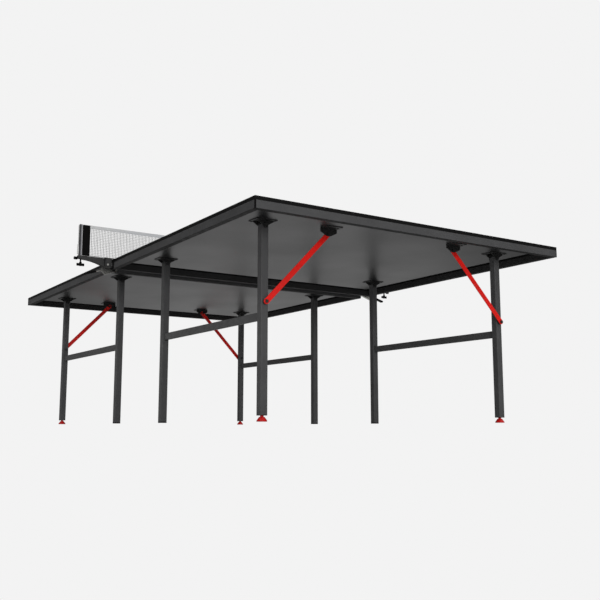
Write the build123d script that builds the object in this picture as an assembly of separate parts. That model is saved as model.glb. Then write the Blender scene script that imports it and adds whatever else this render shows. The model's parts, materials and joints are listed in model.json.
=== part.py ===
from build123d import *
from math import atan2, cos, degrees, radians
import os

# Table tennis table, full size, in millimetres.
# Origin: on the floor, under the middle of the net. +X runs along the table, +Z up.
# "near" is the +X half, "far" the -X half; "left" is -Y, "right" +Y.
# The far half is the near half turned half a turn about Z.

# ---- playing surface -------------------------------------------------------
TABLE_LENGTH = 2740
TABLE_WIDTH = 1525
TABLE_HEIGHT = 760
PANEL_THICKNESS = 15
PANEL_CORNER = 1
HALF_GAP = 1                       # seam between the two halves, under the net

# ---- steel apron under each half -------------------------------------------
APRON_HEIGHT = 30
APRON_WIDTH = 24
APRON_WALL = 1.2
APRON_LIP = 28                     # flat lip along the underside, inside the apron
LIP_THICKNESS = 1.5
NET_APRON_SETBACK = 38             # net line to the outer face of the net-side apron
CORNER_GUARD = 5                   # plastic strip set into each outer corner
GUARD_ROUND = 1
END_CAP = 2                        # plastic cap on the open ends of the net-side apron
CAP_TONGUE = 14

# ---- leg frames: one end leg, one net-side leg and a crossbar --------------
LEG_TUBE = 30
LEG_CORNER = 2.5
LEG_WALL = 1.5
HINGE_Y = 586                      # fold axis, measured from the middle
HINGE_DROP = 20                    # fold axis below the underside of the top
END_LEG_X = 1148
NET_LEG_X = 278
NEST_SHIFT = 20.5                  # the two frames of a half are offset so they fold side by side
CROSSBAR_HEIGHT = 30
CROSSBAR_DEPTH = 15
CROSSBAR_WALL = 1.5
CROSSBAR_Z = 385
FOOT_HEIGHT = 22
NET_LEG_CAP = 5
PLUG_LENGTH = 26

# ---- hinge bracket ---------------------------------------------------------
PLATE = 3
BRACKET_X = 70
BRACKET_Y = 90
EAR_TOP = 38                       # half width of an ear where it meets the plate
EAR_TIP = 11                       # radius of an ear round the bolt
EAR_CLEARANCE = 0.4
BOLT_R = 4                         # M8
RUNNING = 0.05                     # radial clearance of everything that turns on a bolt
BOLT_HEAD = 5.3
NUT_HEIGHT = 6.5
HEX_R = 13 / 2 / cos(radians(30))

# ---- brace -----------------------------------------------------------------
BRACE_Z = 436.5                    # bolt through the end leg
BRACE_PIN_Y = 309
BRACE_PIN_Z = 722
BRACE_WIDTH = 21
BRACE_THICKNESS = 3
SPACER = 10.8                      # sleeve that holds the brace off the leg
SIDE_GAP = 0.3                     # free play on each side of the brace
SPACER_R = 9
HOOK_CLEARANCE = 0.6
HOOK_MOUTH = 117.5                   # degrees from the brace's axis to the way out of its hook
FLANGE_GAP = 1.5
BRACE_PLATE_X = 47
BRACE_PLATE_Y = 77
FLANGE_SIDE_DROP = 13
FLANGE_TIP_DROP = 28
FLANGE_TIP = 8                     # half width of the flange's flat lower edge
RIVET_R = 6.5

# ---- levelling foot --------------------------------------------------------
FOOT_R = 19.5
FOOT_RIM = 4
FOOT_CONE_TOP = 17
FOOT_CONE_R = 10
FOOT_NECK_R = 6.5
STUD_R = 5                         # M10
STUD_TOP = 60

# ---- screws into the underside ---------------------------------------------
SCREW_R = 2
SCREW_HEAD_R = 4
SCREW_HEAD = 2
SCREW_DEPTH = 11
HINGE_SCREW_X = 27                 # half the spacing of the four screws of a hinge bracket
HINGE_SCREW_Y = 36
BRACE_SCREW_X = 24                 # from the flange to the two screws of a brace bracket
BRACE_SCREW_Y = 26

# ---- net set ---------------------------------------------------------------
NET_TOP = TABLE_HEIGHT + 160
NET_BOTTOM = 773
NET_HALF = 861.5                     # mesh ends here, sleeves go on to SLEEVE_END
NET_THICKNESS = 1.2
TAPE_HEIGHT = 16
TAPE_THICKNESS = 3
SLEEVE_END = 897
SLEEVE_THICKNESS = 7
SLEEVE_TOP = 918.5
POST_IN = 900
POST_OUT = 912
POST_DEPTH = 16
POST_TOP = 919
ARM_END = 917
ARM_TOP = 770
ARM_TIP = 14                       # depth of the arm's outer end
ARM_ARCH = (-850, 747.5)           # middle and outer end of the arch under the arm
ARM_NECK = (-888, 752.5)
ARM_THICKNESS = 18
CLAMP_OUT = 792
CLAMP_BOTTOM = 724
CLAMP_HALF = 31
JAW_REACH = 50
JAW_THICKNESS = 4
LEVER_SIDE = 20                    # the lever works beside the clamp body
LEVER_HEAD = (-716, 719)           # corners of the lever's bent strip, seen along X
LEVER_DIP = (-773, 700)
LEVER_HEEL = (-790, 716.5)
LEVER_WIDTH = 14
LEVER_STRIP = 4
LEVER_EAR = 3
PIVOT_Y = 781
PIVOT_Z = 736
PIVOT_R = 3
PIVOT_HEAD_R = 4.5
PIVOT_EAR_R = 9
GRIP_THICKNESS = 8.5
GRIP_START = (-818, 708.25)        # middle line of the grip, Y and Z
GRIP_END = (-863, 695)
SCREW_Y = 902                      # the wing screw stands a little inside the post's middle
SCREW_STEM_R = 3.5
WING_SPAN = 37
WING_THICKNESS = 8
WING_HEIGHT = 12
WING_BOTTOM = 722
HUB_R = 6
HUB_HEIGHT = 18
TENSION_KNOB_R = 7
TENSION_KNOB_LENGTH = 16
TENSION_STEM = 6
TENSION_KNOB_Z = 757
TENSION_CORD_R = 1.2
CORD_LOCK_R = 4
CORD_LOCK_BOTTOM = 776
CORD_LOCK_LENGTH = 47

# ---- derived ---------------------------------------------------------------
HALF_LENGTH = TABLE_LENGTH / 2
HALF_WIDTH = TABLE_WIDTH / 2
UNDERSIDE = TABLE_HEIGHT - PANEL_THICKNESS
PLATE_BOTTOM = UNDERSIDE - PLATE
APRON_BOTTOM = UNDERSIDE - APRON_HEIGHT
APRON_Z = UNDERSIDE - APRON_HEIGHT / 2
NET_APRON_INNER = NET_APRON_SETBACK + APRON_WIDTH
HINGE_Z = UNDERSIDE - HINGE_DROP
LEG_HALF = LEG_TUBE / 2
EAR_IN = LEG_HALF + EAR_CLEARANCE
EAR_OUT = EAR_IN + PLATE
BRACE_IN = LEG_HALF + SPACER + SIDE_GAP
BRACE_OUT = BRACE_IN + BRACE_THICKNESS
FLANGE_IN = BRACE_OUT + FLANGE_GAP
FLANGE_OUT = FLANGE_IN + PLATE

# Each half has a frame on its left and one on its right; the right one sits further out.
SIDES = {"left": (-1, -NEST_SHIFT), "right": (1, NEST_SHIFT)}
TURNED = {"left": "right", "right": "left"}

nodes = {}


def keep(name, *solids):
    """Files one node, which may be a group of separate solids."""
    nodes[name] = solids[0] if len(solids) == 1 else Compound(children=list(solids))


def half_turn(solid):
    return Rot(0, 0, 180) * solid


def along_x(outline, start, end):
    """Extrudes an outline drawn in Y and Z from X = start to X = end."""
    return extrude(Plane.YZ.offset(start) * outline, end - start)


def along_y(outline, start, end):
    """Extrudes an outline drawn in X and Z from Y = start to Y = end."""
    return extrude(Plane.XZ.offset(-end) * outline, end - start)


def ring(width, height, wall, radius):
    """Section of a rectangular tube."""
    inner_radius = max(radius - wall, 0.4)
    return RectangleRounded(width, height, radius) - RectangleRounded(
        width - 2 * wall, height - 2 * wall, inner_radius)


def rod_x(y, z, radius, start, end):
    return along_x(Pos(y, z) * Circle(radius), start, end)


def hex_x(y, z, start, end, bore=0):
    outline = Pos(y, z) * RegularPolygon(HEX_R, 6)
    if bore:
        outline -= Pos(y, z) * Circle(bore)
    return along_x(outline, start, end)


# ---- screws: places are shared by plates and table tops --------------------
def hinge_screw_places(x, y):
    return [(x + i * HINGE_SCREW_X, y + j * HINGE_SCREW_Y) for i in (-1, 1) for j in (-1, 1)]


def brace_screw_places(x, y):
    return [(x + FLANGE_OUT + BRACE_SCREW_X, y + j * BRACE_SCREW_Y) for j in (-1, 1)]


def near_screw_places():
    places = []
    for sign, shift in SIDES.values():
        for leg_x in (END_LEG_X, NET_LEG_X):
            places += hinge_screw_places(leg_x + shift, sign * HINGE_Y)
        places += brace_screw_places(END_LEG_X + shift, sign * BRACE_PIN_Y)
    return places


def screw_holes(places):
    hole = Pos(0, 0, PLATE_BOTTOM) * extrude(Circle(SCREW_R), PLATE + SCREW_DEPTH)
    return [Pos(x, y, 0) * hole for x, y in places]


def screw(x, y):
    head = Pos(x, y, PLATE_BOTTOM - SCREW_HEAD) * extrude(Circle(SCREW_HEAD_R), SCREW_HEAD)
    head = fillet(head.edges().group_by(Axis.Z)[0], 1.2)
    shank = Pos(x, y, PLATE_BOTTOM) * extrude(Circle(SCREW_R), PLATE + SCREW_DEPTH - 1)
    return head + shank


# ---- table top -------------------------------------------------------------
def table_top():
    length = HALF_LENGTH - HALF_GAP / 2
    board = Pos(HALF_GAP / 2 + length / 2, 0, UNDERSIDE) * extrude(
        RectangleRounded(length, TABLE_WIDTH, PANEL_CORNER), PANEL_THICKNESS)
    board = chamfer(board.edges().group_by(Axis.Z)[-1], 0.6)
    for hole in screw_holes(near_screw_places()):
        board -= hole
    return board


# ---- apron -----------------------------------------------------------------
def apron_section(sign=1):
    """Tube with a lip, drawn with its outer face at 0 and the lip on the negative side of it."""
    tube = Pos(-sign * APRON_WIDTH / 2, APRON_Z) * ring(APRON_WIDTH, APRON_HEIGHT, APRON_WALL, 1.5)
    start, end = APRON_WIDTH / 2, APRON_WIDTH + APRON_LIP
    lip = Rectangle(end - start, LIP_THICKNESS)
    lip = Pos(-sign * (start + end) / 2, UNDERSIDE - LIP_THICKNESS / 2) * lip
    return tube + lip


def mitre(y_sign):
    """Prism that cuts a side apron at the outer corner, leaving it outside the 45 degree line."""
    reach = APRON_WIDTH + APRON_LIP
    corner = (HALF_LENGTH, y_sign * HALF_WIDTH)
    inner = (HALF_LENGTH - reach, y_sign * (HALF_WIDTH - reach))
    outer = (HALF_LENGTH, y_sign * (HALF_WIDTH - reach))
    outline = make_face(Polyline(corner, inner, outer, close=True))
    return Pos(0, 0, APRON_BOTTOM) * extrude(outline, APRON_HEIGHT, dir=(0, 0, 1))


def corner_guard(y_sign):
    centre = (HALF_LENGTH - CORNER_GUARD / 2, y_sign * (HALF_WIDTH - CORNER_GUARD / 2))
    guard = Pos(*centre, APRON_Z) * Box(CORNER_GUARD, CORNER_GUARD, APRON_HEIGHT)
    outer = guard.edges().filter_by(Axis.Z).sort_by(lambda e: e.center().X + y_sign * e.center().Y)
    return fillet(outer[-1], GUARD_ROUND)


def corner_notch(y_sign):
    centre = (HALF_LENGTH - CORNER_GUARD / 2, y_sign * (HALF_WIDTH - CORNER_GUARD / 2))
    return Pos(*centre, APRON_Z) * Box(CORNER_GUARD, CORNER_GUARD, APRON_HEIGHT)


def end_apron():
    apron = along_y(Pos(HALF_LENGTH, 0) * apron_section(), -HALF_WIDTH, HALF_WIDTH)
    reach = APRON_WIDTH + APRON_LIP
    for sign in (-1, 1):
        block = Pos(HALF_LENGTH - reach / 2, sign * (HALF_WIDTH - reach / 2), APRON_Z) * Box(
            reach, reach, APRON_HEIGHT)
        apron -= block - mitre(sign)
        apron -= corner_notch(sign)
    return apron


def side_apron(sign):
    apron = along_x(Pos(sign * HALF_WIDTH, 0) * apron_section(sign), NET_APRON_INNER, HALF_LENGTH)
    return apron - mitre(sign) - corner_notch(sign)


def net_apron():
    reach = HALF_WIDTH - END_CAP
    apron = along_y(Pos(NET_APRON_SETBACK, 0) * apron_section(-1), -reach, reach)
    for sign in (-1, 1):
        side_lip = Pos(NET_APRON_INNER + APRON_LIP / 2, sign * (HALF_WIDTH - (APRON_WIDTH + APRON_LIP) / 2),
                       UNDERSIDE - LIP_THICKNESS / 2)
        apron -= side_lip * Box(APRON_LIP, APRON_WIDTH + APRON_LIP, LIP_THICKNESS)
    return apron


def net_apron_cap(sign):
    """Plastic cap that closes an open end of the net-side apron."""
    cap = Pos(NET_APRON_SETBACK + APRON_WIDTH / 2, sign * (HALF_WIDTH - END_CAP / 2), APRON_Z) * Box(
        APRON_WIDTH, END_CAP, APRON_HEIGHT)
    plug = Pos(NET_APRON_SETBACK + APRON_WIDTH / 2, sign * (HALF_WIDTH - END_CAP - CAP_TONGUE / 2),
               APRON_Z) * Box(APRON_WIDTH - 2 * APRON_WALL - 1, CAP_TONGUE, APRON_HEIGHT - 2 * APRON_WALL - 1)
    return cap + plug


# ---- hinge brackets and pivot bolts ----------------------------------------
def hinge_bracket(x, y):
    plate = Pos(x, y, UNDERSIDE - PLATE / 2) * Box(BRACKET_X, BRACKET_Y, PLATE)
    plate = fillet(plate.edges().filter_by(Axis.Z), 5)
    sloped = make_face(Polyline((-EAR_TOP, PLATE_BOTTOM), (EAR_TOP, PLATE_BOTTOM),
                                (EAR_TIP, HINGE_Z), (-EAR_TIP, HINGE_Z), close=True))
    outline = Pos(y, 0) * (sloped + Pos(0, HINGE_Z) * Circle(EAR_TIP)) - Pos(y, HINGE_Z) * Circle(BOLT_R)
    bracket = plate
    for start in (x - EAR_OUT, x + EAR_IN):
        bracket += along_x(outline, start, start + PLATE)
    for hole in screw_holes(hinge_screw_places(x, y)):
        bracket -= hole
    return bracket


def pivot_bolt(x, y):
    shank = rod_x(y, HINGE_Z, BOLT_R, x - EAR_OUT - NUT_HEIGHT - 1.5, x + EAR_OUT)
    return shank + hex_x(y, HINGE_Z, x + EAR_OUT, x + EAR_OUT + BOLT_HEAD)


def pivot_nut(x, y):
    return hex_x(y, HINGE_Z, x - EAR_OUT - NUT_HEIGHT, x - EAR_OUT, bore=BOLT_R)


# ---- brace bracket and its pin ---------------------------------------------
def brace_bracket(x, y):
    plate = Pos(x + FLANGE_IN + BRACE_PLATE_X / 2, y, UNDERSIDE - PLATE / 2) * Box(
        BRACE_PLATE_X, BRACE_PLATE_Y, PLATE)
    plate = fillet(plate.edges().filter_by(Axis.Z).group_by(Axis.X)[-1], 5)
    half = BRACE_PLATE_Y / 2
    outline = make_face(Polyline(
        (y - half, PLATE_BOTTOM), (y + half, PLATE_BOTTOM),
        (y + half, PLATE_BOTTOM - FLANGE_SIDE_DROP), (y + FLANGE_TIP, PLATE_BOTTOM - FLANGE_TIP_DROP),
        (y - FLANGE_TIP, PLATE_BOTTOM - FLANGE_TIP_DROP),
        (y - half, PLATE_BOTTOM - FLANGE_SIDE_DROP), close=True))
    outline -= Pos(y, BRACE_PIN_Z) * Circle(BOLT_R)
    bracket = plate + along_x(outline, x + FLANGE_IN, x + FLANGE_OUT)
    for hole in screw_holes(brace_screw_places(x, y)):
        bracket -= hole
    return bracket


def brace_pin(x, y):
    shank = rod_x(y, BRACE_PIN_Z, BOLT_R, x + LEG_HALF + 1.2, x + FLANGE_OUT)
    return shank + rod_x(y, BRACE_PIN_Z, RIVET_R, x + FLANGE_OUT, x + FLANGE_OUT + 3)


# ---- leg frame -------------------------------------------------------------
def leg(x, y, bottom):
    """Square tube with a round top, so that it clears the bracket's plate as it folds."""
    tube = extrude(Pos(x, y) * ring(LEG_TUBE, LEG_TUBE, LEG_WALL, LEG_CORNER), HINGE_Z + LEG_HALF)
    tube -= Pos(x, y, bottom / 2) * Box(LEG_TUBE, LEG_TUBE, bottom)
    above = Pos(x, y, HINGE_Z + LEG_HALF / 2) * Box(LEG_TUBE, LEG_TUBE, LEG_HALF)
    above -= rod_x(y, HINGE_Z, LEG_HALF, x - LEG_TUBE, x + LEG_TUBE)
    tube -= above
    return tube - rod_x(y, HINGE_Z, BOLT_R + RUNNING, x - LEG_TUBE, x + LEG_TUBE)


def end_leg(x, y):
    return leg(x, y, FOOT_HEIGHT + 2) - rod_x(y, BRACE_Z, BOLT_R, x - LEG_TUBE, x + LEG_TUBE)


def net_leg(x, y):
    return leg(x, y, NET_LEG_CAP)


def crossbar(x, y):
    section = Pos(y, CROSSBAR_Z) * ring(CROSSBAR_DEPTH, CROSSBAR_HEIGHT, CROSSBAR_WALL, 2)
    return along_x(section, x + NET_LEG_X + LEG_HALF, x + END_LEG_X - LEG_HALF)


def plug(x, y, flange_bottom, flange_top, bore=0):
    """Plastic plug pressed into the bottom of a leg, with a flange under the tube."""
    side = LEG_TUBE - 2 * LEG_WALL
    flange = Pos(x, y, flange_bottom) * extrude(
        RectangleRounded(LEG_TUBE, LEG_TUBE, LEG_CORNER), flange_top - flange_bottom)
    body = Pos(x, y, flange_top) * extrude(RectangleRounded(side, side, 1), PLUG_LENGTH)
    whole = flange + body
    if bore:
        whole -= Pos(x, y, flange_bottom) * extrude(Circle(bore), PLUG_LENGTH + flange_top)
    return whole


def brace_bolt_set(x, y):
    """Bolt, spacer ring and domed nut of the brace's lower pivot, on the end leg."""
    head_start = x + BRACE_OUT + SIDE_GAP
    nut_end = x - LEG_HALF - NUT_HEIGHT
    bolt = rod_x(y, BRACE_Z, BOLT_R, nut_end + 1, head_start) + hex_x(y, BRACE_Z, head_start, head_start + 4)
    sleeve = Pos(y, BRACE_Z) * (Circle(SPACER_R) - Circle(BOLT_R))
    spacer = along_x(sleeve, x + LEG_HALF, x + LEG_HALF + SPACER)
    nut = hex_x(y, BRACE_Z, nut_end, x - LEG_HALF) - rod_x(y, BRACE_Z, BOLT_R, nut_end + 1, x)
    dome_r = 5.5
    nut += rod_x(y, BRACE_Z, dome_r, nut_end - 2, nut_end)
    return bolt, spacer, nut


def brace(x, side):
    """Flat bar from the bolt on the leg up to an open hook on the bracket's pin."""
    inward = -side
    low = Vector(side * HINGE_Y, BRACE_Z)
    high = Vector(side * BRACE_PIN_Y, BRACE_PIN_Z)
    middle = (low + high) / 2
    run = high - low
    angle = degrees(atan2(run.Y, run.X))
    bar = Pos(middle.X, middle.Y) * Rot(0, 0, angle) * SlotCenterToCenter(run.length, BRACE_WIDTH)
    bar -= Pos(low.X, low.Y) * Circle(BOLT_R + RUNNING)
    mouth = angle + inward * HOOK_MOUTH
    reach = 2 * BRACE_WIDTH
    hook = Pos(high.X, high.Y) * Circle(BOLT_R + HOOK_CLEARANCE)
    slot = Rectangle(reach, 2 * (BOLT_R + HOOK_CLEARANCE), align=(Align.MIN, Align.CENTER))
    bar -= hook + Pos(high.X, high.Y) * Rot(0, 0, mouth) * slot
    return along_x(bar, x + BRACE_IN, x + BRACE_OUT)


def foot(x, y):
    """Levelling foot: a cone with a rim, and a stud that screws into the leg's plug."""
    outline = make_face(Polyline(
        (0, 0), (FOOT_R - 1, 0), (FOOT_R, 1), (FOOT_R, FOOT_RIM), (FOOT_CONE_R, FOOT_CONE_TOP),
        (FOOT_NECK_R, FOOT_CONE_TOP), (FOOT_NECK_R, FOOT_HEIGHT), (STUD_R, FOOT_HEIGHT),
        (STUD_R, STUD_TOP), (0, STUD_TOP), close=True))
    return Pos(x, y, 0) * revolve(Plane.XZ * outline, Axis.Z)


# ---- net set, drawn for the left end ---------------------------------------
def net_clamp():
    """Cast bracket: jaw on the table's edge, body beside it, arm out to the post."""
    jaw = make_face(Polyline(
        (-HALF_WIDTH + JAW_REACH, TABLE_HEIGHT), (-HALF_WIDTH, TABLE_HEIGHT), (-HALF_WIDTH, CLAMP_BOTTOM),
        (-CLAMP_OUT + 8, CLAMP_BOTTOM), (-CLAMP_OUT, CLAMP_BOTTOM + 8), (-CLAMP_OUT, ARM_TOP),
        (-HALF_WIDTH + JAW_REACH, TABLE_HEIGHT + JAW_THICKNESS), close=True))
    body = along_x(jaw, -LEVER_SIDE, CLAMP_HALF)
    root, bend, tip = (-CLAMP_OUT, CLAMP_BOTTOM + 4), ARM_ARCH, ARM_NECK
    end_bottom = (-ARM_END, ARM_TOP - ARM_TIP)
    arm_outline = make_face([
        Polyline(end_bottom, (-ARM_END, ARM_TOP), (-CLAMP_OUT, ARM_TOP), root),
        ThreePointArc(root, bend, tip),
        Line(tip, end_bottom)])
    arm = along_x(arm_outline, -ARM_THICKNESS / 2, ARM_THICKNESS / 2)
    whole = body + arm
    whole -= rod_x(-PIVOT_Y, PIVOT_Z, PIVOT_R, -CLAMP_HALF, CLAMP_HALF + 1)
    whole -= Pos(0, -SCREW_Y, 0) * extrude(Circle(SCREW_STEM_R + RUNNING), ARM_TOP)
    whole -= tension_stem(SCREW_STEM_R + RUNNING)
    return whole


def tension_stem(radius):
    stem = Plane.XZ.offset(ARM_END - TENSION_STEM) * Pos(0, TENSION_KNOB_Z) * Circle(radius)
    return extrude(stem, TENSION_STEM)


def net_post():
    section = RectangleRounded(POST_DEPTH, POST_OUT - POST_IN, 2)
    post = Pos(0, -(POST_IN + POST_OUT) / 2, ARM_TOP) * extrude(section, POST_TOP - ARM_TOP)
    return fillet(post.edges().group_by(Axis.Z)[-1], 1.2)


def end_sleeve():
    width = SLEEVE_END - NET_HALF
    section = RectangleRounded(SLEEVE_THICKNESS, width, SLEEVE_THICKNESS / 2 - 0.3)
    return Pos(0, -(SLEEVE_END + NET_HALF) / 2, NET_BOTTOM) * extrude(section, SLEEVE_TOP - NET_BOTTOM)


def net_mesh():
    height = NET_TOP - TAPE_HEIGHT - NET_BOTTOM
    return Pos(0, 0, NET_BOTTOM + height / 2) * Box(NET_THICKNESS, 2 * NET_HALF, height)


def net_tape():
    tape = Pos(0, 0, NET_TOP - TAPE_HEIGHT / 2) * Box(TAPE_THICKNESS, 2 * NET_HALF, TAPE_HEIGHT)
    return fillet(tape.edges().filter_by(Axis.Y), 1.2)


def tension_cord():
    """Cord from the net's top, down the outside of the post to its lock."""
    y = -POST_OUT - CORD_LOCK_R
    lock_top = CORD_LOCK_BOTTOM + CORD_LOCK_LENGTH
    cord = Pos(0, y, lock_top) * extrude(Circle(TENSION_CORD_R), POST_TOP - lock_top - 6)
    lock = Pos(0, y, CORD_LOCK_BOTTOM) * extrude(Circle(CORD_LOCK_R), CORD_LOCK_LENGTH)
    lock = fillet(lock.edges(), 1.2)
    return cord + lock


def pivot_pin():
    shank = rod_x(-PIVOT_Y, PIVOT_Z, PIVOT_R, -LEVER_SIDE - LEVER_EAR - 2, CLAMP_HALF)
    return shank + rod_x(-PIVOT_Y, PIVOT_Z, PIVOT_HEAD_R, CLAMP_HALF, CLAMP_HALF + 2)


def clamp_lever():
    """Bent strip that presses up under the top, with an ear on the pivot pin."""
    start = -LEVER_SIDE - SIDE_GAP - LEVER_WIDTH
    end = -LEVER_SIDE - SIDE_GAP
    path = [(LEVER_HEAD[0], UNDERSIDE - 1), LEVER_HEAD, LEVER_DIP, LEVER_HEEL, GRIP_END]
    strip = make_face(offset(Polyline(*path), LEVER_STRIP / 2, side=Side.BOTH, kind=Kind.INTERSECTION))
    strip &= Pos(-790, UNDERSIDE - 60.5) * Rectangle(200, 120)
    ear = make_face(Polyline(
        (-PIVOT_Y - PIVOT_EAR_R, PIVOT_Z), (-PIVOT_Y + PIVOT_EAR_R, PIVOT_Z),
        (-730, 716), (-773, 701), (-792, 716), close=True))
    ear += Pos(-PIVOT_Y, PIVOT_Z) * Circle(PIVOT_EAR_R)
    lever = along_x(strip, start, end) + along_x(ear, end - LEVER_EAR, end)
    return lever - rod_x(-PIVOT_Y, PIVOT_Z, PIVOT_R + RUNNING, -CLAMP_HALF - 10, 0)


def lever_grip():
    centre_x = -LEVER_SIDE - SIDE_GAP - LEVER_WIDTH / 2
    low, high = Vector(*GRIP_END) + Vector(-2, -0.6), Vector(*GRIP_START)
    run = high - low
    angle = degrees(atan2(run.Y, run.X))
    middle = (low + high) / 2
    sleeve = Pos(middle.X, middle.Y) * Rot(0, 0, angle) * RectangleRounded(run.length, GRIP_THICKNESS, 2)
    width = LEVER_WIDTH + 3
    solid = along_x(sleeve, centre_x - width / 2, centre_x + width / 2)
    return solid - clamp_lever()


def post_screw():
    """Wing screw under the arm that clamps the post."""
    stem = Pos(0, -SCREW_Y, WING_BOTTOM) * extrude(Circle(SCREW_STEM_R), ARM_TOP - WING_BOTTOM - 1)
    wing = Pos(0, -SCREW_Y, WING_BOTTOM) * extrude(SlotOverall(WING_SPAN, WING_THICKNESS, 90), WING_HEIGHT)
    wing = fillet(wing.edges().group_by(Axis.Z)[0], 2)
    hub = Pos(0, -SCREW_Y, WING_BOTTOM) * extrude(Circle(HUB_R), HUB_HEIGHT)
    return stem + wing + hub


def tension_knob():
    """Small knob on the arm's outer end that locks the net's tension."""
    knob = Plane.XZ.offset(ARM_END + 0.5) * Pos(0, TENSION_KNOB_Z) * Circle(TENSION_KNOB_R)
    knob = fillet(extrude(knob, TENSION_KNOB_LENGTH).edges(), 1.5)
    return knob + tension_stem(SCREW_STEM_R) + extrude(
        Plane.XZ.offset(ARM_END) * Pos(0, TENSION_KNOB_Z) * Circle(SCREW_STEM_R), 1)


# ---- assembly --------------------------------------------------------------
def build_top_and_apron():
    pieces = {"table_top": table_top(), "end_apron": end_apron(), "net_apron": net_apron(),
              "left_apron": side_apron(-1), "right_apron": side_apron(1)}
    for name, solid in pieces.items():
        far_name = TURNED.get(name.split("_")[0], name.split("_")[0]) + "_" + name.split("_")[1]
        keep("near_" + name, solid)
        keep("far_" + far_name, half_turn(solid))
    caps = [corner_guard(-1), corner_guard(1), net_apron_cap(-1), net_apron_cap(1)]
    keep("apron_corner_caps", *caps, *[half_turn(cap) for cap in caps])


def build_brackets():
    brackets, bolts, brace_brackets, pins = [], [], [], []
    for sign, shift in SIDES.values():
        for leg_x in (END_LEG_X, NET_LEG_X):
            place = (leg_x + shift, sign * HINGE_Y)
            brackets.append(hinge_bracket(*place))
            bolts += [pivot_bolt(*place), pivot_nut(*place)]
        place = (END_LEG_X + shift, sign * BRACE_PIN_Y)
        brace_brackets.append(brace_bracket(*place))
        pins.append(brace_pin(*place))
    screws = [screw(x, y) for x, y in near_screw_places()]
    groups = {"leg_hinge_brackets": brackets, "leg_pivot_bolts": bolts, "brace_brackets": brace_brackets,
              "brace_pins": pins, "mounting_screws": screws}
    for name, solids in groups.items():
        keep(name, *solids, *[half_turn(solid) for solid in solids])


def build_leg_frames():
    for side, (sign, shift) in SIDES.items():
        y = sign * HINGE_Y
        end_x, net_x = END_LEG_X + shift, NET_LEG_X + shift
        stud_bore = STUD_R + RUNNING
        plugs = [plug(end_x, y, FOOT_HEIGHT, FOOT_HEIGHT + 2, stud_bore), plug(net_x, y, 0, NET_LEG_CAP)]
        pieces = {"end_leg": [end_leg(end_x, y)], "net_leg": [net_leg(net_x, y)],
                  "crossbar": [crossbar(shift, y)], "leg_plugs": plugs,
                  "brace_bolt": brace_bolt_set(end_x, y), "brace": [brace(end_x, sign)],
                  "foot": [foot(end_x, y)]}
        for name, solids in pieces.items():
            keep(f"near_{side}_{name}", *solids)
            keep(f"far_{TURNED[side]}_{name}", *[half_turn(solid) for solid in solids])


def build_net():
    for name, make in (("net_clamp", net_clamp), ("clamp_lever", clamp_lever), ("lever_grip", lever_grip),
                       ("post_screw", post_screw), ("tension_knob", tension_knob)):
        solid = make()
        keep(name + "_left", solid)
        keep(name + "_right", half_turn(solid))
    for name, make in (("net_posts", net_post), ("net_end_sleeves", end_sleeve),
                       ("net_tension_cords", tension_cord), ("clamp_pivot_pins", pivot_pin)):
        solid = make()
        keep(name, solid, half_turn(solid))
    keep("net_mesh", net_mesh())
    keep("net_tape", net_tape())


build_top_and_apron()
build_brackets()
build_leg_frames()
build_net()

os.makedirs("parts", exist_ok=True)
for node, shape in nodes.items():
    export_step(shape, f"parts/{node}.step")
print(len(nodes), "nodes")
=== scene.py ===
import json
import math

import bpy
import numpy as np
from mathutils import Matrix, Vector

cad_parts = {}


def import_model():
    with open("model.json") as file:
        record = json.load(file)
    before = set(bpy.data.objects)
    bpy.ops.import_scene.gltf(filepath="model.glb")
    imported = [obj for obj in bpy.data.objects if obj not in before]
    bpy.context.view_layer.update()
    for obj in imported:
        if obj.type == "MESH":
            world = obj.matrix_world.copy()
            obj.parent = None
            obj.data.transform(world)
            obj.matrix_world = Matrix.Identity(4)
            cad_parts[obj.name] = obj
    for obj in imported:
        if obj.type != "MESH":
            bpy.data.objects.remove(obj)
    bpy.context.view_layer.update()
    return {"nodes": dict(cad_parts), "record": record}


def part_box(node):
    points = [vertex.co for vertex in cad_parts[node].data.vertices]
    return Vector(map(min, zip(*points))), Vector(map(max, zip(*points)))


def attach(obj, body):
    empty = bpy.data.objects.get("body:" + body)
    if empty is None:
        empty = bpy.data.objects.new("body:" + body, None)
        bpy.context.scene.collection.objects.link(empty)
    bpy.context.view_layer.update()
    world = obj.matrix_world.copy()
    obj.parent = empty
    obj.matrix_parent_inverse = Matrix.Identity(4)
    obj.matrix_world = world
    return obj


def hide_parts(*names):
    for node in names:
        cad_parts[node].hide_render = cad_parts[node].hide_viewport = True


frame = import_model()
nodes = frame["nodes"]
scene = bpy.context.scene

QUARTERS = ("near_left", "near_right", "far_left", "far_right")

TOP_BLUE = (0.018, 0.070, 0.190, 1)
LINE_WHITE = (0.80, 0.80, 0.78, 1)
UNDERSIDE_GREY = (0.012, 0.012, 0.0122, 1)
EDGE_BLACK = (0.003, 0.003, 0.003, 1)
APRON_GREY = (0.046, 0.046, 0.047, 1)
LEG_GREY = (0.048, 0.048, 0.049, 1)
RED = (0.55, 0.006, 0.003, 1)
FOOT_RED = (0.42, 0.006, 0.005, 1)
BLACK = (0.0035, 0.0035, 0.0035, 1)
BRACKET = (0.014, 0.014, 0.014, 1)
STRAND = (0.022, 0.022, 0.023, 1)
TAPE = (0.46, 0.46, 0.455, 1)

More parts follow.
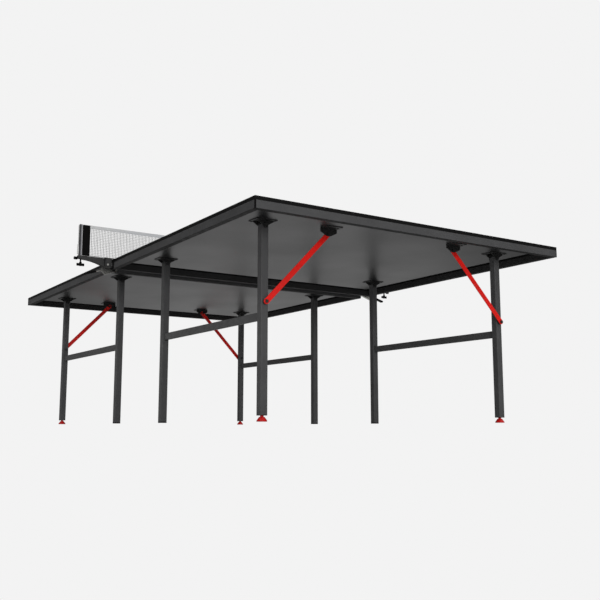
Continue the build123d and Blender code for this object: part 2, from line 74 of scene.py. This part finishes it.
ROOM = 0.20                       # brightness of the room, as light and in reflections
ROOM_BEHIND = 0.62                # the same, in a tall bright panel behind the table
BEHIND_BEARING = math.radians(148.7)
BEHIND_WIDTH = (17, 6)            # degrees from its middle: where it ends, where it is full
BACKDROP = 0.896
HALF_MIDDLE = 0.69                # from the net to the middle of each half
POST_MIDDLE = 0.9062              # the posts' outer half, past this, is painted in shade; the half nearer to the net stays lighter
APRON_FOOT = 0.73                 # above this a downward face of an apron is its lip
EDGE_LINE = 0.020                 # white lines round the top
CENTRE_LINE = 0.003
HALF_LENGTH = 1.370
HALF_WIDTH = 0.7625


# ---- materials -------------------------------------------------------------
class Maker:
    """A Principled material and short ways to add its nodes."""

    def __init__(self, name):
        self.material = bpy.data.materials.new(name)
        self.material.use_nodes = True
        self.tree = self.material.node_tree
        self.bsdf = self.tree.nodes["Principled BSDF"]
        self.place = self.node("ShaderNodeTexCoord").outputs["Object"]

    def node(self, kind, inputs=None, **settings):
        made = self.tree.nodes.new(kind)
        for key, value in settings.items():
            setattr(made, key, value)
        for key, value in (inputs or {}).items():
            if isinstance(value, bpy.types.NodeSocket):
                self.tree.links.new(value, made.inputs[key])
            else:
                made.inputs[key].default_value = value
        return made

    def put(self, **inputs):
        """Sets the shader's own sockets; underscores in a name stand for spaces."""
        for key, value in inputs.items():
            socket = self.bsdf.inputs[key.replace("_", " ")]
            if isinstance(value, bpy.types.NodeSocket):
                self.tree.links.new(value, socket)
            else:
                socket.default_value = value
        return self

    def noise(self, scale, detail=2.0, roughness=0.5, stretch=None):
        vector = self.place
        if stretch:
            vector = self.node("ShaderNodeMapping", {"Vector": vector, "Scale": stretch}).outputs[0]
        return self.node("ShaderNodeTexNoise", {"Vector": vector, "Scale": scale, "Detail": detail,
                                                "Roughness": roughness}).outputs["Fac"]

    def remap(self, value, low, high, out_low, out_high):
        return self.node("ShaderNodeMapRange", {"Value": value, "From Min": low, "From Max": high,
                                                "To Min": out_low, "To Max": out_high}).outputs[0]

    def math(self, operation, a, b=0.0, c=0.0):
        return self.node("ShaderNodeMath", {0: a, 1: b, 2: c}, operation=operation).outputs[0]

    def mix(self, factor, a, b):
        made = self.node("ShaderNodeMix", data_type="RGBA")
        for index, value in ((0, factor), (6, a), (7, b)):
            if isinstance(value, bpy.types.NodeSocket):
                self.tree.links.new(value, made.inputs[index])
            else:
                made.inputs[index].default_value = value
        return made.outputs[2]

    def bump(self, height, distance):
        inputs = {"Height": height, "Distance": distance, "Strength": 1.0}
        return self.node("ShaderNodeBump", inputs).outputs[0]

    def axis(self, vector, letter):
        return self.node("ShaderNodeSeparateXYZ", {"Vector": vector}).outputs[letter]

    def facing_down(self):
        """1 on faces that look at the floor when the part is in its first position."""
        normal = self.node("ShaderNodeTexCoord").outputs["Normal"]
        return self.math("LESS_THAN", self.axis(normal, "Z"), -0.5)

    def facing_inward(self):
        """1 on upright faces that look at the middle of their own half of the table."""
        normal = self.node("ShaderNodeTexCoord").outputs["Normal"]
        x = self.axis(self.place, "X")
        from_middle = self.math("SUBTRACT", self.math("ABSOLUTE", x), HALF_MIDDLE)
        from_middle = self.math("MULTIPLY", from_middle, self.math("SIGN", x))
        along = self.math("MULTIPLY", from_middle, self.axis(normal, "X"))
        outward = self.math("MULTIPLY_ADD", self.axis(self.place, "Y"), self.axis(normal, "Y"), along)
        return self.math("LESS_THAN", outward, -0.05)

    def edges(self, radius, gain=6.0):
        """1 on sharp edges, 0 on flat faces, broken up by noise."""
        smooth = self.node("ShaderNodeBevel", {"Radius": radius}, samples=4).outputs[0]
        plain = self.node("ShaderNodeNewGeometry").outputs["Normal"]
        dot = self.node("ShaderNodeVectorMath", {0: smooth, 1: plain}, operation="DOT_PRODUCT")
        sharp = self.math("MULTIPLY", self.math("SUBTRACT", 1.0, dot.outputs["Value"]), gain)
        broken = self.remap(self.noise(90, 3), 0.42, 0.62, 0.0, 1.0)
        return self.node("ShaderNodeClamp", {"Value": self.math("MULTIPLY", sharp, broken)}).outputs[0]


def shade(colour, factor):
    return tuple(c * factor for c in colour[:3]) + (1,)


def powder_coat(name, colour, roughness=0.42, grain=0.00004, worn=None, gloss=0.5, below=1.0,
                shade_inside=1.0):
    """Baked powder paint: fine orange peel, cloudiness and rubbed edges, with painted shade on faces that
    look down and on upright faces that look inward.
    """
    m = Maker(name)
    cloud = m.noise(9, 3)
    speck = m.noise(420, 2)
    base = m.mix(m.remap(cloud, 0.3, 0.7, 0, 1), shade(colour, 0.90), shade(colour, 1.10))
    base = m.mix(m.remap(speck, 0.66, 0.74, 0, 0.5), base, shade(colour, 1.7))
    rub = m.edges(0.0008)
    base = m.mix(m.math("MULTIPLY", rub, 0.5), base, worn or shade(colour, 2.4))
    # Painted shade: downward faces take the below share of the colour, and upright faces that look inward
    # take the inside share.
    if below < 1:
        down = m.facing_down()
        inward_shade = m.mix(cloud, shade(colour, shade_inside * 0.9), shade(colour, shade_inside * 1.1))
        base = m.mix(m.facing_inward(), base, inward_shade)
        downward_shade = m.mix(cloud, shade(colour, below * 0.8), shade(colour, below * 1.2))
        base = m.mix(down, base, downward_shade)
        lip = m.math("MULTIPLY", down, m.math("GREATER_THAN", m.axis(m.place, "Z"), APRON_FOOT))
        gloss = m.math("MULTIPLY_ADD", lip, -gloss, gloss)
    rough = m.remap(m.noise(35, 3), 0.3, 0.7, roughness - 0.05, roughness + 0.06)
    normal = m.bump(m.noise(850, 2), grain)
    return m.put(Base_Color=base, Roughness=rough, Specular_IOR_Level=gloss, Normal=normal).material


def moulded(name, colour, roughness=0.48, grain=0.00003, gloss=0.5):
    """Moulded plastic with a fine spark-eroded grain."""
    m = Maker(name)
    base = m.mix(m.remap(m.noise(25, 2), 0.3, 0.7, 0, 1), shade(colour, 0.88), shade(colour, 1.14))
    base = m.mix(m.math("MULTIPLY", m.edges(0.0006), 0.4), base, shade(colour, 1.9))
    rough = m.remap(m.noise(60, 2), 0.3, 0.7, roughness - 0.05, roughness + 0.07)
    return m.put(Base_Color=base, Roughness=rough, Specular_IOR_Level=gloss,
                 Normal=m.bump(m.noise(1600, 2), grain)).material


def plated(name, colour, roughness=0.34):
    """Zinc-plated steel: patchy sheen and light scratches."""
    m = Maker(name)
    patch = m.remap(m.noise(160, 4), 0.35, 0.65, 0, 1)
    base = m.mix(patch, shade(colour, 0.82), (colour[0] * 1.05, colour[1] * 1.04, colour[2] * 0.98, 1))
    scratch = m.noise(500, 2, stretch=(1, 9, 2))
    rough = m.remap(scratch, 0.3, 0.7, roughness - 0.08, roughness + 0.10)
    return m.put(Base_Color=base, Roughness=rough, Metallic=1.0, Normal=m.bump(scratch, 0.00001)).material


def extruded(name, colour):
    """Dark anodised aluminium with faint lines along its length; its outer half is painted in shade, much
    darker than the inner half.
    """
    m = Maker(name)
    lines = m.noise(900, 2, stretch=(1, 1, 0.02))
    # painted light and shade: the inner half takes a lit copy of the grey, the outer half a shaded copy
    lit_inner = m.math("LESS_THAN", m.math("ABSOLUTE", m.axis(m.place, "Y")), POST_MIDDLE)
    shadow = m.mix(lines, shade(colour, 0.14), shade(colour, 0.20))
    base = m.mix(lit_inner, shadow, m.mix(lines, shade(colour, 0.95), shade(colour, 1.25)))
    rough = m.remap(lines, 0.3, 0.7, 0.36, 0.50)
    return m.put(Base_Color=base, Roughness=rough, Metallic=0.6, Normal=m.bump(lines, 0.00001)).material


def tabletop():
    """Blue playing surface with white lines, a black edge band and a glossy dark coat underneath."""
    m = Maker("tabletop_coat")
    x, y = (m.math("ABSOLUTE", m.axis(m.place, letter)) for letter in "XY")
    at_end = m.math("GREATER_THAN", x, HALF_LENGTH - EDGE_LINE)
    at_side = m.math("GREATER_THAN", y, HALF_WIDTH - EDGE_LINE)
    at_middle = m.math("LESS_THAN", y, CENTRE_LINE / 2)
    line = m.math("MAXIMUM", m.math("MAXIMUM", at_end, at_side), at_middle)
    cloud = m.remap(m.noise(3, 3), 0.3, 0.7, 0, 1)
    paint = m.mix(cloud, shade(TOP_BLUE, 0.93), shade(TOP_BLUE, 1.07))
    paint = m.mix(m.remap(m.noise(1300, 2), 0.60, 0.75, 0, 0.35), paint, shade(TOP_BLUE, 1.7))
    white = m.mix(m.noise(300, 2), shade(LINE_WHITE, 0.93), LINE_WHITE)
    top = m.mix(line, paint, white)
    below = m.mix(cloud, shade(UNDERSIDE_GREY, 0.92), shade(UNDERSIDE_GREY, 1.08))
    below = m.mix(m.remap(m.noise(700, 3), 0.64, 0.72, 0, 0.3), below, shade(UNDERSIDE_GREY, 1.6))
    up = m.axis(m.node("ShaderNodeTexCoord").outputs["Normal"], "Z")
    is_top = m.math("GREATER_THAN", up, 0.5)
    is_below = m.math("LESS_THAN", up, -0.5)
    band = m.mix(m.noise(40, 2), shade(EDGE_BLACK, 0.8), shade(EDGE_BLACK, 1.2))
    gloss = m.math("MULTIPLY_ADD", m.math("MAXIMUM", is_top, is_below), 0.42, 0.08)
    colour = m.mix(is_below, m.mix(is_top, band, top), below)
    scuff = m.noise(6, 4)
    rough_top = m.remap(scuff, 0.3, 0.7, 0.56, 0.66)
    rough_below = m.remap(m.noise(2.5, 3), 0.3, 0.7, 0.37, 0.43)
    rough = m.math("MULTIPLY_ADD", is_below, m.math("SUBTRACT", rough_below, rough_top), rough_top)
    fine = m.noise(1100, 3)
    height = m.math("MULTIPLY", fine, m.math("MULTIPLY_ADD", is_top, 0.9, 0.1))
    return m.put(Base_Color=colour, Roughness=rough, Specular_IOR_Level=gloss,
                 Normal=m.bump(height, 0.00004)).material


def woven(name, colour, pitch=0.0006, axes="YZ"):
    """Plain weave: two crossed waves in bump and colour."""
    m = Maker(name)
    waves = []
    for letter in axes:
        turn = m.math("MULTIPLY", m.axis(m.place, letter), math.tau / pitch)
        waves.append(m.math("SINE", turn))
    weave = m.remap(m.math("MULTIPLY", *waves), -1, 1, 0, 1)
    base = m.mix(weave, shade(colour, 0.78), shade(colour, 1.12))
    base = m.mix(m.remap(m.noise(40, 3), 0.3, 0.7, 0, 0.25), base, shade(colour, 0.8))
    return m.put(Base_Color=base, Roughness=0.85, Sheen_Weight=0.25,
                 Normal=m.bump(weave, 0.00012)).material


def twisted(name, colour):
    """Thread: fine diagonal twist."""
    m = Maker(name)
    twist = m.noise(1400, 2, stretch=(1, 1.6, 0.7))
    base = m.mix(twist, shade(colour, 0.6), shade(colour, 1.4))
    return m.put(Base_Color=base, Roughness=0.8, Normal=m.bump(twist, 0.00008)).material


look = {
    "tabletop": tabletop(),
    # the apron coat carries painted shade on its downward and inward faces
    "apron_steel": powder_coat("apron_coat", APRON_GREY, 0.60, gloss=0.15, below=0.12, shade_inside=0.5),
    "leg_steel": powder_coat("leg_coat", LEG_GREY, 0.50, gloss=0.25),
    "red_steel": powder_coat("brace_coat", RED, 0.42, worn=(0.70, 0.08, 0.05, 1), gloss=0.25),
    "red_plastic": moulded("foot_plastic", FOOT_RED, 0.36, gloss=0.2),
    "black_plastic": moulded("black_moulding", BLACK, 0.65, gloss=0.03),
    "black_steel": powder_coat("bracket_coat", BRACKET, 0.46, worn=(0.10, 0.10, 0.10, 1), gloss=0.35),
    "zinc_steel": plated("zinc", (0.50, 0.50, 0.485, 1), 0.42),
    "lever_steel": plated("bright_zinc", (0.52, 0.52, 0.505, 1), 0.24),
    "post_aluminium": extruded("anodised", (0.20, 0.20, 0.21, 1)),
    "net_fabric": twisted("net_thread", STRAND),
    "tape_fabric": woven("net_band", TAPE),
    "cord": woven("cord_braid", (0.50, 0.50, 0.49, 1), 0.0009, "YZ"),
}
for part in frame["record"]["subparts"]:
    mesh = nodes[part["node"]].data
    mesh.materials.clear()
    bright = part["node"].startswith("clamp_lever")
    mesh.materials.append(look["lever_steel" if bright else part["material_slot"]])
    if part["material_slot"] == "apron_steel":
        nodes[part["node"]].visible_glossy = False


# ---- pieces made here ------------------------------------------------------
def piece(name, points, faces, material, body):
    mesh = bpy.data.meshes.new(name)
    mesh.from_pydata([tuple(p) for p in points], [], faces)
    mesh.polygons.foreach_set("use_smooth", [True] * len(mesh.polygons))
    mesh.materials.append(material)
    made = bpy.data.objects.new(name, mesh)
    scene.collection.objects.link(made)
    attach(made, body)
    return made


def tube(path, radii, sides, points, faces):
    """Adds a closed tube round a path of points to the lists."""
    path = np.asarray(path, float)
    along = np.gradient(path, axis=0)
    along /= np.linalg.norm(along, axis=1)[:, None]
    helper = np.where(np.abs(along[:, :1]) > 0.9, [[0.0, 1.0, 0.0]], [[1.0, 0.0, 0.0]])
    across = np.cross(along, helper)
    across /= np.linalg.norm(across, axis=1)[:, None]
    second = np.cross(along, across)
    start = len(points)
    for centre, a, b, radius in zip(path, across, second, radii):
        for k in range(sides):
            turn = math.tau * k / sides
            points.append(centre + radius * (math.cos(turn) * a + math.sin(turn) * b))
    for ring in range(len(path) - 1):
        for k in range(sides):
            low, next_k = start + ring * sides, (k + 1) % sides
            faces.append((low + k, low + next_k, low + sides + next_k, low + sides + k))
    faces.append([start + k for k in range(sides)][::-1])
    faces.append([start + (len(path) - 1) * sides + k for k in range(sides)])


def net():
    """Square knotted mesh, with a thicker cord along the bottom."""
    low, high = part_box("net_mesh")
    pitch, thread, knot = 0.0075, 0.00085, 1.15
    columns = round((high.y - low.y) / pitch)
    rows = round((high.z - low.z) / pitch)
    ys = np.linspace(low.y + 0.001, high.y - 0.001, columns + 1)
    zs = np.linspace(low.z + 0.0012, high.z + 0.002, rows + 1)

    def spot(y, z):
        """Where a crossing lies: the net is stretched, so it strays very little."""
        stray = 0.0004 * math.sin(37.0 * y + 91.0 * z) + 0.0003 * math.sin(113.0 * y - 57.0 * z)
        free = math.sin(math.pi * (z - low.z) / (high.z - low.z))
        return np.array((0.0003 * math.sin(19.0 * y + 40.0 * z), y + stray * free, z + 0.8 * stray * free))

    points, faces = [], []
    for index, y in enumerate(ys):
        knots = [spot(y, z) for z in zs]
        strand = thread * (1 + 0.16 * math.sin(2.3 * index) * math.sin(0.71 * index + 1))
        path, radii = [knots[0]], [strand * knot]
        for a, b in zip(knots, knots[1:]):
            for share in (0.18, 0.82):
                path.append(a + share * (b - a))
                radii.append(strand)
            path.append(b)
            radii.append(strand * knot)
        tube(path, radii, 5, points, faces)
    for z in zs:
        knots = [spot(y, z) for y in ys]
        thick = 1.5 if z == zs[0] else 0.5
        tube(knots, [thread * thick] * len(knots), 5, points, faces)
    made = piece("net_mesh_threads", points, faces, look["net_fabric"], "table")
    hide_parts("net_mesh")
    return made


net_piece = net()


def welds(quarter):
    """Rippled weld beads round both ends of a frame's crossbar."""
    low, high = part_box(quarter + "_crossbar")
    points, faces = [], []
    corner, bead = 0.002, 0.0014
    outline = []
    for y, z, turn in ((high.y, high.z, 0), (low.y, high.z, 90), (low.y, low.z, 180), (high.y, low.z, 270)):
        centre_y = y - math.copysign(corner, y - (low.y + high.y) / 2)
        centre_z = z - math.copysign(corner, z - (low.z + high.z) / 2)
        for step in range(5):
            angle = math.radians(turn + 22.5 * step)
            outline.append((centre_y + corner * math.cos(angle), centre_z + corner * math.sin(angle)))
    outline.append(outline[0])
    outline = np.array(outline)
    run = np.concatenate([[0], np.cumsum(np.linalg.norm(np.diff(outline, axis=0), axis=1))])
    along = np.arange(0, run[-1], 0.0006)
    ys, zs = (np.interp(along, run, outline[:, k]) for k in (0, 1))
    for x, seed in ((low.x, 1.0), (high.x, 2.0)):
        radii = bead * (1 + 0.14 * np.sin(along * 2600) + 0.10 * np.sin(along * 310 + seed))
        tube(np.column_stack([np.full_like(ys, x), ys, zs]), radii, 8, points, faces)
    return piece(quarter + "_welds", points, faces, look["leg_steel"], quarter + "_leg_frame")


def tape_stitches():
    """Lock stitches along the lower edge of the net's tape, on both of its faces."""
    low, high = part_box("net_tape")
    points, faces = [], []
    stitch, gap, thread = 0.0036, 0.0012, 0.00022
    arch = ((0, -0.0003), (0.2, 0.00005), (0.5, 0.0001), (0.8, 0.00005), (1, -0.0003))
    count = int((high.y - low.y - 0.004) / (stitch + gap))
    for x, side in ((low.x, -1), (high.x, 1)):
        for index in range(count):
            start = low.y + 0.002 + index * (stitch + gap)
            z = low.z + 0.0030 + 0.0001 * math.sin(5.1 * index)
            path = [(x + side * lift, start + share * stitch, z) for share, lift in arch]
            tube(path, [thread] * len(path), 5, points, faces)
    return piece("net_tape_stitches", points, faces, look["cord"], "table")


for quarter in QUARTERS:
    welds(quarter)
tape_stitches()


# ---- floor, light and camera -----------------------------------------------
def floor():
    """Plain pale floor. It shows only from above: the camera stands a little lower than the feet."""
    made = bpy.data.materials.new("floor")
    made.use_nodes = True
    tree = made.node_tree
    tree.nodes["Principled BSDF"].inputs["Base Color"].default_value = (0.82, 0.82, 0.82, 1)
    tree.nodes["Principled BSDF"].inputs["Roughness"].default_value = 0.9
    clear = tree.nodes.new("ShaderNodeBsdfTransparent")
    side = tree.nodes.new("ShaderNodeNewGeometry")
    mix = tree.nodes.new("ShaderNodeMixShader")
    tree.links.new(side.outputs["Backfacing"], mix.inputs[0])
    tree.links.new(tree.nodes["Principled BSDF"].outputs[0], mix.inputs[1])
    tree.links.new(clear.outputs[0], mix.inputs[2])
    tree.links.new(mix.outputs[0], tree.nodes["Material Output"].inputs["Surface"])
    mesh = bpy.data.meshes.new("floor")
    reach = 60.0
    mesh.from_pydata([(-reach, -reach, 0), (reach, -reach, 0), (reach, reach, 0), (-reach, reach, 0)], [],
                     [(0, 1, 2, 3)])
    mesh.materials.append(made)
    plane = bpy.data.objects.new("floor", mesh)
    scene.collection.objects.link(plane)
    plane.visible_glossy = False


def sun(name, source, strength, width):
    """Even light from far away: from a direction, with a strength and an angular width."""
    light = bpy.data.lights.new(name, "SUN")
    light.energy, light.angle = strength, math.radians(width)
    made = bpy.data.objects.new(name, light)
    made.rotation_euler = Vector(source).to_track_quat("Z", "Y").to_euler()
    scene.collection.objects.link(made)


def area_light(name, place, target, width, height, power):
    light = bpy.data.lights.new(name, "AREA")
    light.shape = "RECTANGLE"
    light.size, light.size_y, light.energy = width, height, power
    made = bpy.data.objects.new(name, light)
    made.location = place
    made.rotation_euler = (Vector(target) - Vector(place)).to_track_quat("-Z", "Y").to_euler()
    made.visible_camera = False
    scene.collection.objects.link(made)


def world():
    """A pale backdrop to look at, and a dimmer, even room to light by."""
    made = bpy.data.worlds.new("studio")
    made.use_nodes = True
    tree = made.node_tree
    room = tree.nodes["Background"]
    room.inputs["Color"].default_value = (1, 1, 1, 1)
    level_with = tree.nodes.new("ShaderNodeVectorMath")
    level_with.operation = "MULTIPLY"
    level_with.inputs[1].default_value = (1, 1, 0)
    tree.links.new(tree.nodes.new("ShaderNodeTexCoord").outputs["Generated"], level_with.inputs[0])
    bearing = tree.nodes.new("ShaderNodeVectorMath")
    bearing.operation = "NORMALIZE"
    tree.links.new(level_with.outputs[0], bearing.inputs[0])
    behind = tree.nodes.new("ShaderNodeVectorMath")
    behind.operation = "DOT_PRODUCT"
    behind.inputs[1].default_value = (math.cos(BEHIND_BEARING), math.sin(BEHIND_BEARING), 0)
    tree.links.new(bearing.outputs[0], behind.inputs[0])
    level = tree.nodes.new("ShaderNodeMapRange")
    level.interpolation_type = "SMOOTHSTEP"
    edge, full = (math.cos(math.radians(a)) for a in BEHIND_WIDTH)
    for key, value in (("From Min", edge), ("From Max", full), ("To Min", ROOM), ("To Max", ROOM_BEHIND)):
        level.inputs[key].default_value = value
    tree.links.new(behind.outputs["Value"], level.inputs["Value"])
    tree.links.new(level.outputs[0], room.inputs["Strength"])
    backdrop = tree.nodes.new("ShaderNodeBackground")
    backdrop.inputs["Color"].default_value = (BACKDROP, BACKDROP, BACKDROP, 1)
    mix = tree.nodes.new("ShaderNodeMixShader")
    tree.links.new(tree.nodes.new("ShaderNodeLightPath").outputs["Is Camera Ray"], mix.inputs[0])
    tree.links.new(room.outputs[0], mix.inputs[1])
    tree.links.new(backdrop.outputs[0], mix.inputs[2])
    tree.links.new(mix.outputs[0], tree.nodes["World Output"].inputs["Surface"])
    scene.world = made


def camera():
    data = bpy.data.cameras.new("camera")
    data.sensor_width, data.lens = 36.0, 50.44
    data.clip_start, data.clip_end = 0.05, 200.0
    made = bpy.data.objects.new("camera", data)
    made.location = (3.7674, -2.1521, -0.0232)
    yaw, pitch = 2.5612, 0.1513
    ahead = Vector((math.cos(pitch) * math.cos(yaw), math.cos(pitch) * math.sin(yaw), math.sin(pitch)))
    made.rotation_euler = ahead.to_track_quat("-Z", "Y").to_euler()
    scene.collection.objects.link(made)
    scene.camera = made


floor()
world()
sun("overhead", (0.24, 0.135, 0.96), 2.1, 100)
sun("front", (7.9, -2.3, 0.55), 1.5, 16)
area_light("key", (4.2, -1.2, 1.2), (1.0, -0.2, 0.5), 1.5, 1.5, 20)
area_light("fill", (-2.3, -2.7, 0.5), (-0.7, -0.4, 0.45), 1.6, 0.8, 10)
camera()
scene.view_settings.view_transform = "Standard"
